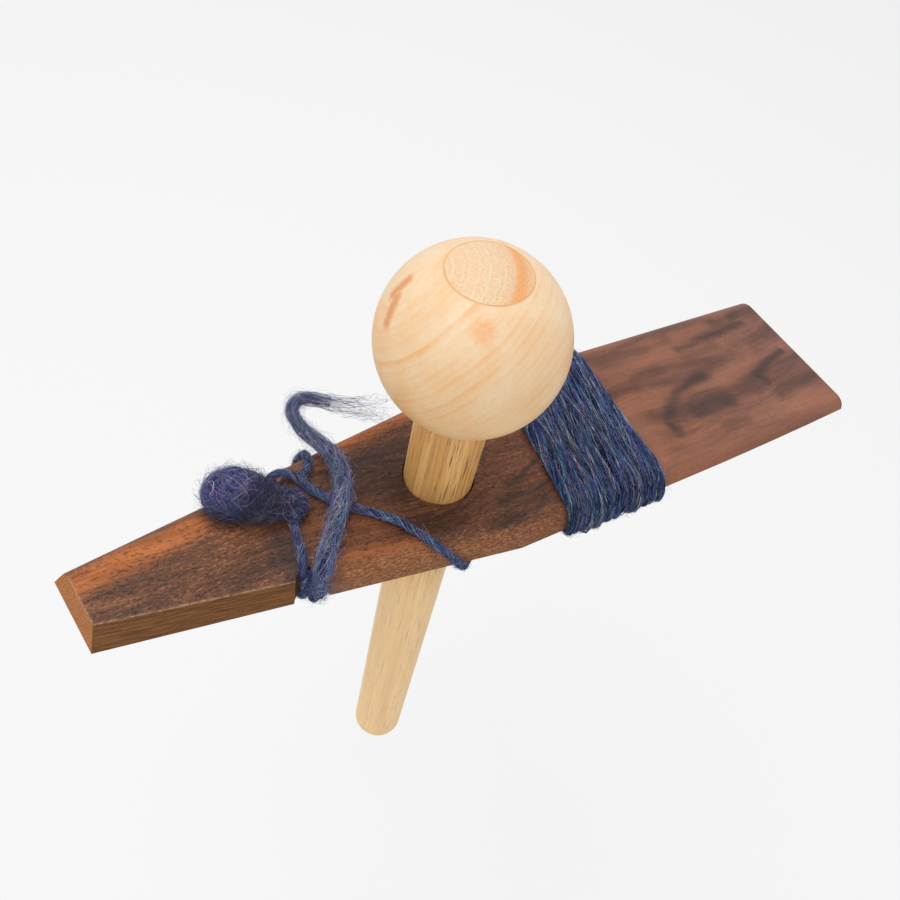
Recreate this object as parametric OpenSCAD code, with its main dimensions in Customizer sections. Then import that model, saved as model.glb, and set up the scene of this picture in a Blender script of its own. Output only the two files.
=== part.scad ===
// Hand spindle: a tapered wooden paddle that turns freely on a round shaft,
// with a ball fixed on the shaft's top and wool yarn wound on the paddle.
// The origin is in the middle of the hand's grip on the shaft. +Z runs up the
// shaft to the ball, and +X runs along the paddle to its wide, thin end.

/* [Shaft and ball] */
// Diameter of the round shaft
shaft_d = 16; // [12:0.5:20]
// Length of the shaft, from its lower end to the top of the ball
shaft_len = 221; // [190:1:280]
// Rounding of the shaft's lower edge
shaft_end_round = 1.2; // [0.4:0.1:3]
// Diameter of the ball
ball_d = 38; // [30:1:46]
// Glue gap round the shaft inside the ball
glue_gap = 0.05; // [0.02:0.01:0.1]

/* [Place on the shaft] */
// Height of the grip's middle over the shaft's lower end
grip_height = 75; // [60:1:90]
// Height of the paddle's top over the shaft's lower end
paddle_height = 157; // [120:1:165]

/* [Paddle] */
// Length from the hole's centre to the narrow end
narrow_len = 79.6; // [64:0.1:98]
// Length from the hole's centre to the end of the blade
blade_len = 111.7; // [90:0.1:136]
// Length from the hole's centre to where the sides start to taper
taper_start = 12; // [8:0.5:16]
// Width of the narrow end
narrow_w = 13.2; // [11:0.1:16]
// Width where the taper starts
blade_w = 42.6; // [36:0.1:52]
// Width of the blade at its end, before its edges are rounded
blade_end_w = 41.8; // [34:0.1:52]
// Thickness at the narrow end
narrow_t = 12.2; // [10.5:0.1:15]
// Thickness at the blade's end
blade_end_t = 2; // [1.6:0.1:2.8]
// Loose running gap between the shaft and the hole, on each side
hole_gap = 0.4; // [0.3:0.05:0.6]
// Rounding of the upper front edge, from the notch to the blade's end
front_round = 4.2; // [2:0.1:4.2]
// Rounding of the whole upper back edge
back_round = 2; // [1:0.5:4]
// Lean of the back side, outwards at its foot, in degrees
back_lean = 27; // [0:1:30]
// Slant of the narrow end, in degrees
narrow_slant = 8; // [0:0.5:15]
// Lean of the narrow end, outwards at its foot, in degrees
narrow_lean = 9.5; // [0:0.5:15]
// Slant of the blade's end, in degrees
blade_slant = 3.5; // [0:0.5:10]
// Rounding of the blade's front corner, seen from above
corner_round = 2.4; // [0.5:0.1:5]

/* [Yarn notches] */
// Length from the hole's centre to the notches in both sides
notch_at = 36.3; // [35:0.1:40]
// Radius of a notch
notch_r = 4; // [3.8:0.1:5]
// Depth of a notch
notch_depth = 3; // [2:0.1:3.5]

/* [Yarn] */
// Diameter of the spun yarn
yarn_d = 1.6; // [1.3:0.05:1.65]
// Turns of the wound yarn
cop_turns = 13; // [6:1:14]
// Step from one turn to the next
cop_pitch = 2.1; // [2.1:0.05:2.3]
// Length from the hole's centre to the first turn
cop_from = 23; // [20:0.5:26]
// Diameter of the unspun tail
roving_d = 3; // [2.4:0.1:3.4]
// Diameter of the bunch of loose fibre
puff_d = 11; // [9:0.5:12]
// Gap that keeps each yarn form clear of what it lies on
yarn_gap = 0.25; // [0.2:0.05:0.3]

/* [Hidden] */
$fn = 96;
walnut = [0.30, 0.17, 0.11];
beech = [0.80, 0.66, 0.44];
birch = [0.90, 0.74, 0.54];
navy = [0.13, 0.15, 0.38];
dusk = [0.25, 0.27, 0.52];
shaft_foot = -grip_height;
ball_z = shaft_foot + shaft_len - ball_d / 2;
paddle_z = shaft_foot + paddle_height;
hole_d = shaft_d + 2 * hole_gap;
// Overshoot of a cutting shape past the wood
past = 15;
loop_rings = 24;
// A rounded edge is an arc that meets the flat faces at this small angle
crease = 8;
// Turn from the top to the leaning back side
back_turn = 90 - back_lean;
corner_steps = 6;

// Half of the paddle's width at x, as it is before its edges are rounded
function half(x) = x < taper_start
    ? narrow_w / 2 + (blade_w - narrow_w) / 2 * (x + narrow_len) / (narrow_len + taper_start)
    : blade_w / 2 + (blade_end_w - blade_w) / 2 * (x - taper_start) / (blade_len - taper_start);
// Thickness of the paddle at x: its top is flat and its underside slopes
function depth(x) = narrow_t + (blade_end_t - narrow_t) * (x + narrow_len) / (narrow_len + blade_len);
// Distance from the middle line to the foot of the leaning back side
function foot_half(x) = half(x) + depth(x) * tan(back_lean);
// Distance from the middle line to the middle of a notch's arc
notch_middle = half(-notch_at) + notch_r - notch_depth;

// Radius of the arc that rounds an edge of a given turn over a width w, and the place
// of its middle: inwards from the edge, and down from the top
function arc_r(w, turn = 90) = w * cos(turn / 2) / sin(turn / 2 - crease);
function arc_c(w, turn = 90) =
    [sin(turn / 2), cos(turn / 2)] * (w * sin(turn / 2) + arc_r(w, turn) * cos(turn / 2 - crease));

// Points of a strand of diameter d on the paddle, with z = 0 on the paddle's top
function on_top(x, y, d) = [x, y, yarn_gap + d / 2];
function below(x, y, d) = [x, y, -depth(x) - yarn_gap - d / 2];
function about(x, y, z, r, a) = [x, y + r * cos(a), z + r * sin(a)];
function front_edge(x, a, d) = let (c = arc_c(front_round))
    about(x, c[0] - half(x), -c[1], arc_r(front_round) + yarn_gap + d / 2, a);
function back_edge(x, a, d) = let (c = arc_c(back_round, back_turn))
    about(x, half(x) - c[0], -c[1], arc_r(back_round, back_turn) + yarn_gap + d / 2, a);
function front_low(x, a, d) = about(x, -half(x), -depth(x), yarn_gap + d / 2, a);
function back_low(x, a, d) = about(x, foot_half(x), -depth(x), yarn_gap + d / 2, a);
// Points in the notch on side -1 or 1, at angle a on its arc, or b degrees round its rim
function in_notch(side, a, reach, z) =
    [reach * cos(a) - notch_at, side * (notch_middle - reach * sin(a)), z];
function rim_up(side, a, b, d) =
    let (s = yarn_gap + d / 2) in_notch(side, a, notch_r - s * cos(b), s * sin(b));
function rim_down(side, a, b, d) =
    let (s = yarn_gap + d / 2, q = in_notch(side, a, notch_r - s * cos(b), -s * sin(b)))
    q - [0, 0, depth(q[0])];

// Tubes: a smooth line through chosen points, and rings carried along it
function unit(v) = v / norm(v);
function blend(a, b, c, d, t) =
    0.5 * (2 * b + (c - a) * t + (2 * a - 5 * b + 4 * c - d) * t * t + (3 * b - a - 3 * c + d) * t * t * t);
function smooth(p, steps) = concat(
    [for (i = [0 : len(p) - 2], j = [0 : steps - 1])
        blend(p[max(i - 1, 0)], p[i], p[i + 1], p[min(i + 2, len(p) - 1)], j / steps)],
    [p[len(p) - 1]]);
function directions(p) =
    [for (i = [0 : len(p) - 1]) unit(p[min(i + 1, len(p) - 1)] - p[max(i - 1, 0)])];
function carried(t, n, i = 0) = i == len(t) ? [] :
    let (m = unit(n - (n * t[i]) * t[i])) concat([m], carried(t, m, i + 1));

// d is one diameter, or a list with one for each ring
module tube(p, d, sides, first_normal) {
    t = directions(p);
    n = carried(t, first_normal);
    last = (len(p) - 1) * sides;
    points = [for (i = [0 : len(p) - 1], k = [0 : sides - 1])
        let (a = 360 * k / sides)
        p[i] + (is_list(d) ? d[i] : d) / 2 * (cos(a) * n[i] + sin(a) * cross(t[i], n[i]))];
    walls = [for (i = [0 : len(p) - 2], k = [0 : sides - 1], upper = [0, 1])
        let (a = i * sides + k, b = i * sides + (k + 1) % sides)
        upper == 0 ? [a, a + sides, b] : [b, a + sides, b + sides]];
    caps = [for (k = [1 : sides - 2], end = [0, 1])
        end == 0 ? [0, k, k + 1] : [last, last + k + 1, last + k]];
    polyhedron(points, concat(walls, caps), convexity = 10);
}

// The wound yarn's line: corner c of the blade's section, 0 to 3 from the lower back one.
// Each turn lies square across the blade and steps to the next on its way under it.
function between(p, q, share) = p + (q - p) * share;
function cop_angle(c) = [-90, back_lean, 90, 180, 270][c];
function cop_corner(x, c, step) =
    let (a = between(cop_angle(c), cop_angle(c + 1), step / 4), d = yarn_d)
    c == 0 ? back_low(x, a, d) :
    c == 1 ? back_edge(x, a, d) :
    c == 2 ? front_edge(x, a, d) : front_low(x, a, d);
function cop_turn(x) = concat(
    [between(cop_corner(x, 3, 4), cop_corner(x, 0, 0), 0.5)],
    [for (c = [0, 1], step = [0 : 4]) cop_corner(x, c, step)],
    [for (share = [1, 2] / 3) between(cop_corner(x, 1, 4), cop_corner(x, 2, 0), share)],
    [for (c = [2, 3], step = [0 : 4]) cop_corner(x, c, step)],
    [between(cop_corner(x, 3, 4), cop_corner(x, 0, 0), 0.25) + [cop_pitch / 2, 0, 0]]);
function cop_x(turn) = cop_from + yarn_d / 2 + cop_pitch * turn;
cop_line = concat(
    [for (turn = [0 : cop_turns - 1]) each cop_turn(cop_x(turn))],
    [cop_turn(cop_x(cop_turns))[0]]);
cop_least_gap = min([for (i = [0 : len(cop_line) - 1], j = [i + loop_rings / 2 : 1 : len(cop_line) - 1])
    norm(cop_line[i] - cop_line[j])]) - yarn_d;
echo(cop_least_gap = cop_least_gap);

// The leader leaves the wound yarn under the blade, passes round the front edge,
// crosses the top and ends in a ring at the knot
leader_points = let (d = yarn_d, start = cop_line[0]) [
    start - [0, 0.3, 0], start - [0, 2.5, 0], below(start[0] - 1, -4, d), below(start[0] - 3.2, -7.6, d),
    below(17, -10, d), below(13, -11.5, d), below(8, -13, d), below(3, -15.4, d),
    front_low(-1.4, 270, d), front_low(-2.2, 225, d), front_low(-2.8, 180, d),
    front_edge(-4.8, 180, d), front_edge(-6.4, 155, d), front_edge(-8.4, 130, d), front_edge(-11.2, 95, d),
    on_top(-14.2, -8.4, d), on_top(-18.2, -4.6, d), on_top(-22.4, -1.2, d),
    on_top(-26, 2.5, d), on_top(-28.6, 6, d),
    [-29.8, 8.4, 1.4], [-30.8, 10.4, 1.8], [-32.4, 11.2, 2.2], [-33.6, 10.2, 2.5], [-33.7, 8.5, 2.6]];
// The hitch runs from the knot into the front notch, under the neck, and up the back notch
hitch_points = let (d = yarn_d) [
    [-35.4, 0.2, 2.2], [-35.6, -1.4, 1.6],
    on_top(-36, -4.4, d), on_top(-36.4, -7.6, d),
    rim_up(-1, 108, 90, d), rim_up(-1, 110, 45, d), rim_up(-1, 112, 0, d),
    rim_down(-1, 112, 0, d), rim_down(-1, 112, 45, d), rim_down(-1, 112, 90, d),
    below(-37.4, -5, d), below(-37, 0, d), below(-36.6, 5, d),
    rim_down(1, 84, 90, d), rim_down(1, 82, 45, d), rim_down(1, 80, 0, d),
    rim_up(1, 78, 0, d), rim_up(1, 76, 45, d), rim_up(1, 74, 90, d), on_top(-35.8, 9, d)];
// The second strand leaves the ring, passes round the back edge and under to the front notch
strand_points = let (d = yarn_d) [
    on_top(-28.2, 10.8, d), on_top(-27.2, 12, d),
    back_edge(-26.4, 90, d), back_edge(-25.9, 60, d), back_edge(-25.6, back_lean, d),
    back_low(-25.8, back_lean, d), back_low(-26.2, -30, d), back_low(-26.8, -90, d), below(-27.6, 15, d),
    below(-28.8, 10, d), below(-30.3, 5, d), below(-31.6, 0, d), below(-32.6, -5, d), below(-33.2, -8.4, d),
    rim_down(-1, 46, 90, d)];
// The unspun tail comes up the front notch, crosses the top and curls past the back edge
roving_points = let (d = roving_d) [
    rim_down(-1, 36, 0, d) + [0, 0, 0.8], rim_down(-1, 36, 0, d) + [0, 0, 4.5],
    rim_up(-1, 34, 0, d), rim_up(-1, 33, 45, d), rim_up(-1, 32, 90, d),
    on_top(-32.4, -10.8, d), on_top(-29.8, -7.6, d) + [0, 0, 0.5],
    [-26.8, -3.6, 3.4], [-24.2, 0.2, 3.8], [-22, 4.4, 3.4], [-21, 8.8, 2.8], [-21.2, 13, 2.5],
    [-22.8, 16.8, 2.6], [-24.4, 19.8, 2.8], [-25.2, 23, 3], [-25.4, 26, 3.2],
    [-24.2, 28, 3.4], [-22.2, 28.8, 3.6], [-20.2, 28, 3.8], [-18.2, 26.4, 4]];
// The bunch of loose fibre thins towards its knot: middle in x and y, and share of its diameter
puff_points = [
    [-49.4, 10, 0.3], [-48.6, 9.9, 0.7], [-46.8, 9.4, 0.96], [-44.2, 8.7, 1], [-41.4, 7.5, 0.92],
    [-38.8, 6.2, 0.74], [-36.4, 4.7, 0.6], [-34.4, 3.3, 0.52], [-32.8, 2.4, 0.4], [-32.2, 2.1, 0.2]];

// The outline of the paddle's ends and front, seen from above, run on past the narrow end
// and past the back, which are cut afterwards
module outline() {
    tail = -narrow_len - past;
    far = blade_w / 2 + past;
    corner = [blade_len + blade_end_w / 2 * tan(blade_slant) - corner_round, -blade_end_w / 2 + corner_round];
    polygon(concat(
        [[tail, far],
         [tail, -half(tail)],
         [taper_start, -blade_w / 2]],
        [for (i = [0 : corner_steps]) let (a = -90 + (90 + blade_slant) * i / corner_steps)
            corner + corner_round * [cos(a), sin(a)]],
        [[blade_len - far * tan(blade_slant), far]]));
}

// Sweeps a flat shape along the front edge's line, from before x1 to after x2. In the shape,
// x runs inwards from the edge and y runs up from the top.
module along_edge(x1, x2, before, after) {
    run = [x2 - x1, half(x1) - half(x2)];
    translate([x1, -half(x1), 0]) rotate([0, 0, atan2(run[1], run[0])]) translate([-before, 0, 0])
        rotate([90, 0, 90]) linear_extrude(norm(run) + before + after) children();
}

// The space over an edge that is rounded over a width w, with a side that leans outwards
module edge_space(w, lean) {
    turn = 90 - lean;
    middle = [arc_c(w, turn)[0], -arc_c(w, turn)[1]];
    difference() {
        polygon([middle, middle + [0, 2 * past], middle + [-2 * past, 2 * past],
                 middle + 2 * past * [-cos(lean), sin(lean)]]);
        translate(middle) circle(arc_r(w, turn));
    }
}

// The space beyond a side that leans outwards at its foot
module side_space(lean) {
    slope = 2 * past * [sin(lean), cos(lean)];
    polygon([slope, [-4 * past, slope[1]], [-4 * past, -slope[1]], -slope]);
}

// The tapered, wedge-shaped blank with its rounded edges
module blank() {
    low_n = depth(-narrow_len - past);
    low_b = depth(blade_len + past);
    difference() {
        intersection() {
            translate([0, 0, -low_n - 1]) linear_extrude(low_n + 1) outline();
            rotate([90, 0, 0]) linear_extrude(2 * blade_w, center = true) polygon([
                [-narrow_len - past, 0], [blade_len + past, 0],
                [blade_len + past, -low_b], [-narrow_len - past, -low_n]]);
        }
        along_edge(-notch_at, taper_start, 0, past) edge_space(front_round, 0);
        along_edge(taper_start, blade_len, past, past) edge_space(front_round, 0);
        mirror([0, 1, 0]) {
            along_edge(-notch_at, taper_start, narrow_len, blade_len) side_space(back_lean);
            along_edge(taper_start, blade_len, narrow_len, past) side_space(back_lean);
            along_edge(-notch_at, taper_start, narrow_len, past) edge_space(back_round, back_lean);
            along_edge(taper_start, blade_len, past, past) edge_space(back_round, back_lean);
        }
    }
}

module on_shaft() {
    translate([0, 0, paddle_z]) children();
}

module paddle() {
    color(walnut) on_shaft() difference() {
        blank();
        translate([-narrow_len, 0, 0]) rotate([0, narrow_lean, narrow_slant])
            translate([-3 * past, -blade_w, -3 * past]) cube([3 * past, 2 * blade_w, 6 * past]);
        translate([0, 0, -narrow_t - 1]) cylinder(d = hole_d, h = narrow_t + 2);
        for (side = [0, 1]) mirror([0, side, 0]) translate([-notch_at, notch_middle, -narrow_t - 1]) {
            cylinder(r = notch_r, h = narrow_t + 2);
            translate([-notch_r, 0, 0]) cube([2 * notch_r, past, narrow_t + 2]);
        }
    }
}

// The shaft's top is dressed flush with the ball
module spindle_shaft() {
    r = shaft_d / 2;
    color(beech) intersection() {
        translate([0, 0, shaft_foot]) rotate_extrude() difference() {
            square([r, shaft_len]);
            translate([r - shaft_end_round, shaft_end_round]) difference() {
                translate([0, -2 * shaft_end_round]) square(2 * shaft_end_round);
                circle(shaft_end_round);
            }
        }
        union() {
            translate([0, 0, ball_z]) sphere(d = ball_d);
            translate([0, 0, shaft_foot - 1]) cylinder(d = shaft_d + 2, h = shaft_len - ball_d / 2 + 1);
        }
    }
}

module ball_knob() {
    color(birch) difference() {
        translate([0, 0, ball_z]) sphere(d = ball_d);
        translate([0, 0, ball_z - ball_d]) cylinder(d = shaft_d + 2 * glue_gap, h = 2 * ball_d);
    }
}

// The wound yarn, one strand in turns round the blade
module cop_winding() {
    color(navy) on_shaft() tube(cop_line, yarn_d, 6, [0, 0, -1]);
}

module leader_yarn() {
    color(navy) on_shaft() tube(smooth(leader_points, 2), yarn_d, 8, [0, 0, -1]);
}

module neck_hitch() {
    color(navy) on_shaft() tube(smooth(hitch_points, 2), yarn_d, 8, [1, 0, 0]);
}

module back_strand() {
    color(navy) on_shaft() tube(smooth(strand_points, 2), yarn_d, 8, [1, 0, 0]);
}

module fibre_puff() {
    rings = smooth(puff_points, 2);
    middles = [for (q = rings) on_top(q[0], q[1], q[2] * puff_d)];
    color(dusk) on_shaft() tube(middles, [for (q = rings) q[2] * puff_d], 16, [0, 0, 1]);
}

module roving_tail() {
    color(dusk) on_shaft() tube(smooth(roving_points, 2), roving_d, 8, [1, 0, 0]);
}

paddle();
spindle_shaft();
ball_knob();
cop_winding();
leader_yarn();
neck_hitch();
back_strand();
fibre_puff();
roving_tail();
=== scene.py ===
import math
from functools import lru_cache

import bpy
import numpy as np
from mathutils import Matrix, Vector


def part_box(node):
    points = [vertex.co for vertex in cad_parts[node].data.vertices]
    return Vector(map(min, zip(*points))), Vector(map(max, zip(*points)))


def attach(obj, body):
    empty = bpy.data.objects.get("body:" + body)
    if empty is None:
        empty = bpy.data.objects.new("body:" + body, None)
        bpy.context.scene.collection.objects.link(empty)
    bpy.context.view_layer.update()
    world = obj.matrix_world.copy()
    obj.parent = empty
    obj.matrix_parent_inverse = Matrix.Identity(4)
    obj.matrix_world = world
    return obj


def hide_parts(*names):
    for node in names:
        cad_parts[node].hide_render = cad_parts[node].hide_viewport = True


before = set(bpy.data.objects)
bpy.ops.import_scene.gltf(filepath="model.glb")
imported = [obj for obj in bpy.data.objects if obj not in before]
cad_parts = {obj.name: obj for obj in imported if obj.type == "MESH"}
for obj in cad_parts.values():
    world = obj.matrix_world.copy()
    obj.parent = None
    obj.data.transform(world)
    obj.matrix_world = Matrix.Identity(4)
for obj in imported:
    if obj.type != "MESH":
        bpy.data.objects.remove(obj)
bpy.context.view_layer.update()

# A hand spindle: a walnut paddle that whirls on a pale shaft under a turned ball, wound with wool.
# Yarn is laid in millimetres on the paddle, with z = 0 on its top and the hole's middle at x = y = 0.
MM = 0.001
TAU = 2 * math.pi
PADDLE_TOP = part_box("paddle")[1].z
SHAFT_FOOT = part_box("spindle_shaft")[0].z
SHAFT_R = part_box("spindle_shaft")[1].x
BALL_LOW, BALL_HIGH = (corner.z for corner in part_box("ball_knob"))
BALL_MIDDLE = (BALL_LOW + BALL_HIGH) / 2
rng = np.random.default_rng(7)

# The paddle's sizes, which the yarn follows
NARROW_LEN = 79.6
BLADE_LEN = 111.7
TAPER_START = 12.0
NARROW_W = 13.2
BLADE_W = 42.6
BLADE_END_W = 41.8
NARROW_T = 12.2
BLADE_END_T = 2.0
FRONT_ROUND = 4.2
BACK_ROUND = 2.0
BACK_LEAN = 27.0
CREASE = math.radians(8)
NOTCH_AT = 36.3
NOTCH_R = 4.0
NOTCH_DEPTH = 3.0
YARN_D = 1.6
TAIL_D = 3.0
YARN_GAP = 0.25


# Camera and stage

CAMERA_AT = (-0.07482, -0.09315, 0.24948)
CAMERA_RIGHT = (0.87639, -0.45656, 0.15326)
CAMERA_DOWN = (-0.29209, -0.75693, -0.58459)
LENS_MM = 35.98
SENSOR_MM = 36.0
FLOOR_DROP = 0.16
FLOOR_SIZE = 8.0
LAMP_FROM = Vector((-0.22, 0.10, 0.97))
LAMP_DISTANCE = 1.1
LAMP_SIZE = 0.9
LAMP_WATTS = 5.6
SKY_FILL = 0.86
BACKDROP = 0.915
FLOOR_LIT = (0.8, 0.8, 0.8)
FLOOR_SHADE = (0.42, 0.42, 0.42)
FLOOR_GLOW = 0.47


def make_camera():
    data = bpy.data.cameras.new("camera")
    data.lens = LENS_MM
    data.sensor_width = SENSOR_MM
    camera = bpy.data.objects.new("camera", data)
    bpy.context.scene.collection.objects.link(camera)
    right = Vector(CAMERA_RIGHT).normalized()
    back = Vector(CAMERA_DOWN).cross(right).normalized()
    up = back.cross(right)
    turn = Matrix((right, up, back)).transposed()
    camera.matrix_world = Matrix.Translation(CAMERA_AT) @ turn.to_4x4()
    bpy.context.scene.camera = camera


def make_lamp():
    data = bpy.data.lights.new("overhead", "AREA")
    data.shape = "DISK"
    data.size = LAMP_SIZE
    data.energy = LAMP_WATTS
    lamp = bpy.data.objects.new("overhead", data)
    bpy.context.scene.collection.objects.link(lamp)
    aim = Vector((0, 0, PADDLE_TOP))
    lamp.location = aim + LAMP_FROM.normalized() * LAMP_DISTANCE
    lamp.rotation_euler = LAMP_FROM.to_track_quat("Z", "Y").to_euler()


# Shader nodes

# A growth ring ends over this distance
RING_STOP = 0.25


class Shader:
    """A material's nodes, with short calls for those that the materials share."""

    def __init__(self, name, tree=None):
        self.material = None
        if tree is None:
            self.material = bpy.data.materials.new(name)
            self.material.use_nodes = True
            tree = self.material.node_tree
        self.tree = tree
        self.tree.nodes.clear()

    def node(self, kind, inputs, **settings):
        made = self.tree.nodes.new("ShaderNode" + kind)
        for name, value in settings.items():
            setattr(made, name, value)
        for name, value in inputs.items():
            if isinstance(value, bpy.types.NodeSocket):
                self.tree.links.new(value, made.inputs[name])
            else:
                made.inputs[name].default_value = value
        return made

    def math(self, operation, *values, clamp=False):
        return self.node("Math", dict(enumerate(values)), operation=operation, use_clamp=clamp).outputs[0]

    def vector(self, operation, *values):
        made = self.node("VectorMath", dict(enumerate(values)), operation=operation)
        return made.outputs["Value" if operation in ("LENGTH", "DOT_PRODUCT", "DISTANCE") else "Vector"]

    def split(self, vector):
        return self.node("SeparateXYZ", {0: vector}).outputs[:3]

    def noise(self, place, scale, detail=2.0, roughness=0.5):
        stretched = self.vector("MULTIPLY", place, scale)
        inputs = {"Vector": stretched, "Scale": 1.0, "Detail": detail, "Roughness": roughness}
        return self.node("TexNoise", inputs).outputs["Fac"]

    def warped(self, place, scale, push, detail=1.0):
        """The place, pushed about by a slow noise."""
        inputs = {"Vector": place, "Scale": scale, "Detail": detail}
        shift = self.vector("SUBTRACT", self.node("TexNoise", inputs).outputs["Color"], (0.5, 0.5, 0.5))
        return self.vector("ADD", place, self.vector("MULTIPLY", shift, push))

    def span(self, value, low, high, at_low=0.0, at_high=1.0):
        inputs = {"Value": value, "From Min": low, "From Max": high, "To Min": at_low, "To Max": at_high}
        return self.node("MapRange", inputs, interpolation_type="SMOOTHSTEP").outputs["Result"]

    def mix(self, share, first, second, blend="MIX"):
        made = self.node("Mix", {0: share, 6: first, 7: second}, data_type="RGBA", blend_type=blend)
        return made.outputs[2]

    def times(self, colour, factors, share=1.0):
        return self.mix(share, colour, opaque(factors), "MULTIPLY")

    def ramp(self, value, stops):
        made = self.node("ValToRGB", {"Fac": value})
        points = made.color_ramp.elements
        while len(points) < len(stops):
            points.new(1.0)
        for point, (position, colour) in zip(points, stops):
            point.position = position
            point.color = opaque(colour)
        return made.outputs["Color"]

    def place(self):
        """The surface's place in the part's frame, in millimetres."""
        return self.vector("MULTIPLY", self.node("TexCoord", {}).outputs["Object"], (1 / MM,) * 3)

    def facing(self):
        """The three parts of the surface's outward direction."""
        return self.split(self.node("TexCoord", {}).outputs["Normal"])

    def scaled(self, direction, amount):
        """A direction, made as long as an amount."""
        spread = self.node("CombineXYZ", {0: amount, 1: amount, 2: amount}).outputs[0]
        return self.vector("MULTIPLY", spread, direction)

    def from_line(self, place, points):
        """The distance from a line of straight runs between points."""
        nearest = None
        for start, end in zip(points, points[1:]):
            run = Vector(end) - Vector(start)
            off = self.vector("SUBTRACT", place, start)
            toward = self.vector("DOT_PRODUCT", off, run / run.length_squared)
            share = self.math("MULTIPLY", toward, 1.0, clamp=True)
            far = self.vector("DISTANCE", off, self.scaled(run, share))
            nearest = far if nearest is None else self.math("MINIMUM", nearest, far)
        return nearest

    def rings(self, across, chosen, fade):
        """Growth rings at chosen places across the grain: each darkens slowly and ends sharply."""
        total = 0.0
        for place, strength in chosen:
            rise = self.span(across, place - fade, place, 0.0, strength)
            stop = self.span(across, place, place + RING_STOP, 1.0, 0.0)
            total = self.math("MAXIMUM", total, self.math("MULTIPLY", rise, stop))
        return total

    def surface(self, **inputs):
        sockets = {name.replace("_", " "): value for name, value in inputs.items()}
        shader = self.node("BsdfPrincipled", sockets)
        self.output(shader.outputs[0])
        return self.material

    def bump(self, height, depth_mm):
        return self.node("Bump", {"Height": height, "Distance": depth_mm * MM}).outputs["Normal"]

    def output(self, socket):
        self.node("OutputMaterial", {"Surface": socket})


def opaque(colour):
    return (*colour, 1.0)


# World and floor

def make_world():
    world = bpy.data.worlds.new("studio")
    bpy.context.scene.world = world
    world.use_nodes = True
    s = Shader("studio", world.node_tree)
    rays = s.node("LightPath", {})
    seen = s.math("MAXIMUM", rays.outputs["Is Camera Ray"], rays.outputs["Is Glossy Ray"])
    seen = s.math("MAXIMUM", seen, rays.outputs["Is Transmission Ray"])
    strength = s.span(seen, 0.0, 1.0, SKY_FILL, BACKDROP)
    sky = s.node("Background", {"Color": (1, 1, 1, 1), "Strength": strength})
    s.node("OutputWorld", {"Surface": sky.outputs[0]})


def floor_material():
    """A pale floor that keeps the shadow and looks nearly as white as the backdrop."""
    s = Shader("pale_floor")
    rays = s.node("LightPath", {})
    lit = s.node("BsdfDiffuse", {"Color": opaque(FLOOR_LIT)})
    half_lit = s.node("BsdfDiffuse", {"Color": opaque(FLOOR_SHADE)})
    glow = s.node("Emission", {"Color": (1, 1, 1, 1), "Strength": FLOOR_GLOW})
    shown = s.node("AddShader", {0: half_lit.outputs[0], 1: glow.outputs[0]})
    mixed = s.node("MixShader", {0: rays.outputs["Is Camera Ray"], 1: lit.outputs[0], 2: shown.outputs[0]})
    s.output(mixed.outputs[0])
    return s.material


def make_floor():
    mesh = bpy.data.meshes.new("floor")
    reach = FLOOR_SIZE / 2
    z = SHAFT_FOOT - FLOOR_DROP
    corners = [(-reach, -reach, z), (reach, -reach, z), (reach, reach, z), (-reach, reach, z)]
    mesh.from_pydata(corners, [], [(0, 1, 2, 3)])
    floor = bpy.data.objects.new("floor", mesh)
    mesh.materials.append(floor_material())
    bpy.context.scene.collection.objects.link(floor)


# Routes of the yarn on the paddle

def half(x):
    """Half of the paddle's width at x."""
    narrow = NARROW_W / 2 + (BLADE_W - NARROW_W) / 2 * (x + NARROW_LEN) / (NARROW_LEN + TAPER_START)
    wide = BLADE_W / 2 + (BLADE_END_W - BLADE_W) / 2 * (x - TAPER_START) / (BLADE_LEN - TAPER_START)
    return narrow if x < TAPER_START else wide


def depth(x):
    """Thickness of the paddle at x."""
    return NARROW_T + (BLADE_END_T - NARROW_T) * (x + NARROW_LEN) / (NARROW_LEN + BLADE_LEN)


def foot_half(x):
    """Distance from the middle line to the foot of the leaning back side."""
    return half(x) + depth(x) * math.tan(math.radians(BACK_LEAN))


def arc(width, turn):
    """An edge's rounding arc: its radius, and its middle inwards and down from the edge."""
    a = math.radians(turn / 2)
    radius = width * math.cos(a) / math.sin(a - CREASE)
    reach = width * math.sin(a) + radius * math.cos(a - CREASE)
    return radius, reach * math.sin(a), reach * math.cos(a)


def about(x, y, z, r, angle):
    """A place at an angle and a distance round a line along x."""
    a = math.radians(angle)
    return (x, y + r * math.cos(a), z + r * math.sin(a))


def on_top(x, y, d=YARN_D, lift=0.0):
    return (x, y, YARN_GAP + d / 2 + lift)


def below(x, y):
    return (x, y, -depth(x) - YARN_GAP - YARN_D / 2)


def front_edge(x, angle, d=YARN_D):
    radius, inwards, down = arc(FRONT_ROUND, 90)
    return about(x, inwards - half(x), -down, radius + YARN_GAP + d / 2, angle)


def back_edge(x, angle, d=YARN_D):
    radius, inwards, down = arc(BACK_ROUND, 90 - BACK_LEAN)
    return about(x, half(x) - inwards, -down, radius + YARN_GAP + d / 2, angle)


def front_low(x, angle, d=YARN_D):
    return about(x, -half(x), -depth(x), YARN_GAP + d / 2, angle)


def back_low(x, angle, d=YARN_D):
    return about(x, foot_half(x), -depth(x), YARN_GAP + d / 2, angle)


def in_notch(side, angle, reach, z):
    """A place in the front or back notch, round the middle of its arc."""
    a = math.radians(angle)
    middle = half(-NOTCH_AT) + NOTCH_R - NOTCH_DEPTH
    return (reach * math.cos(a) - NOTCH_AT, side * (middle - reach * math.sin(a)), z)


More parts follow.
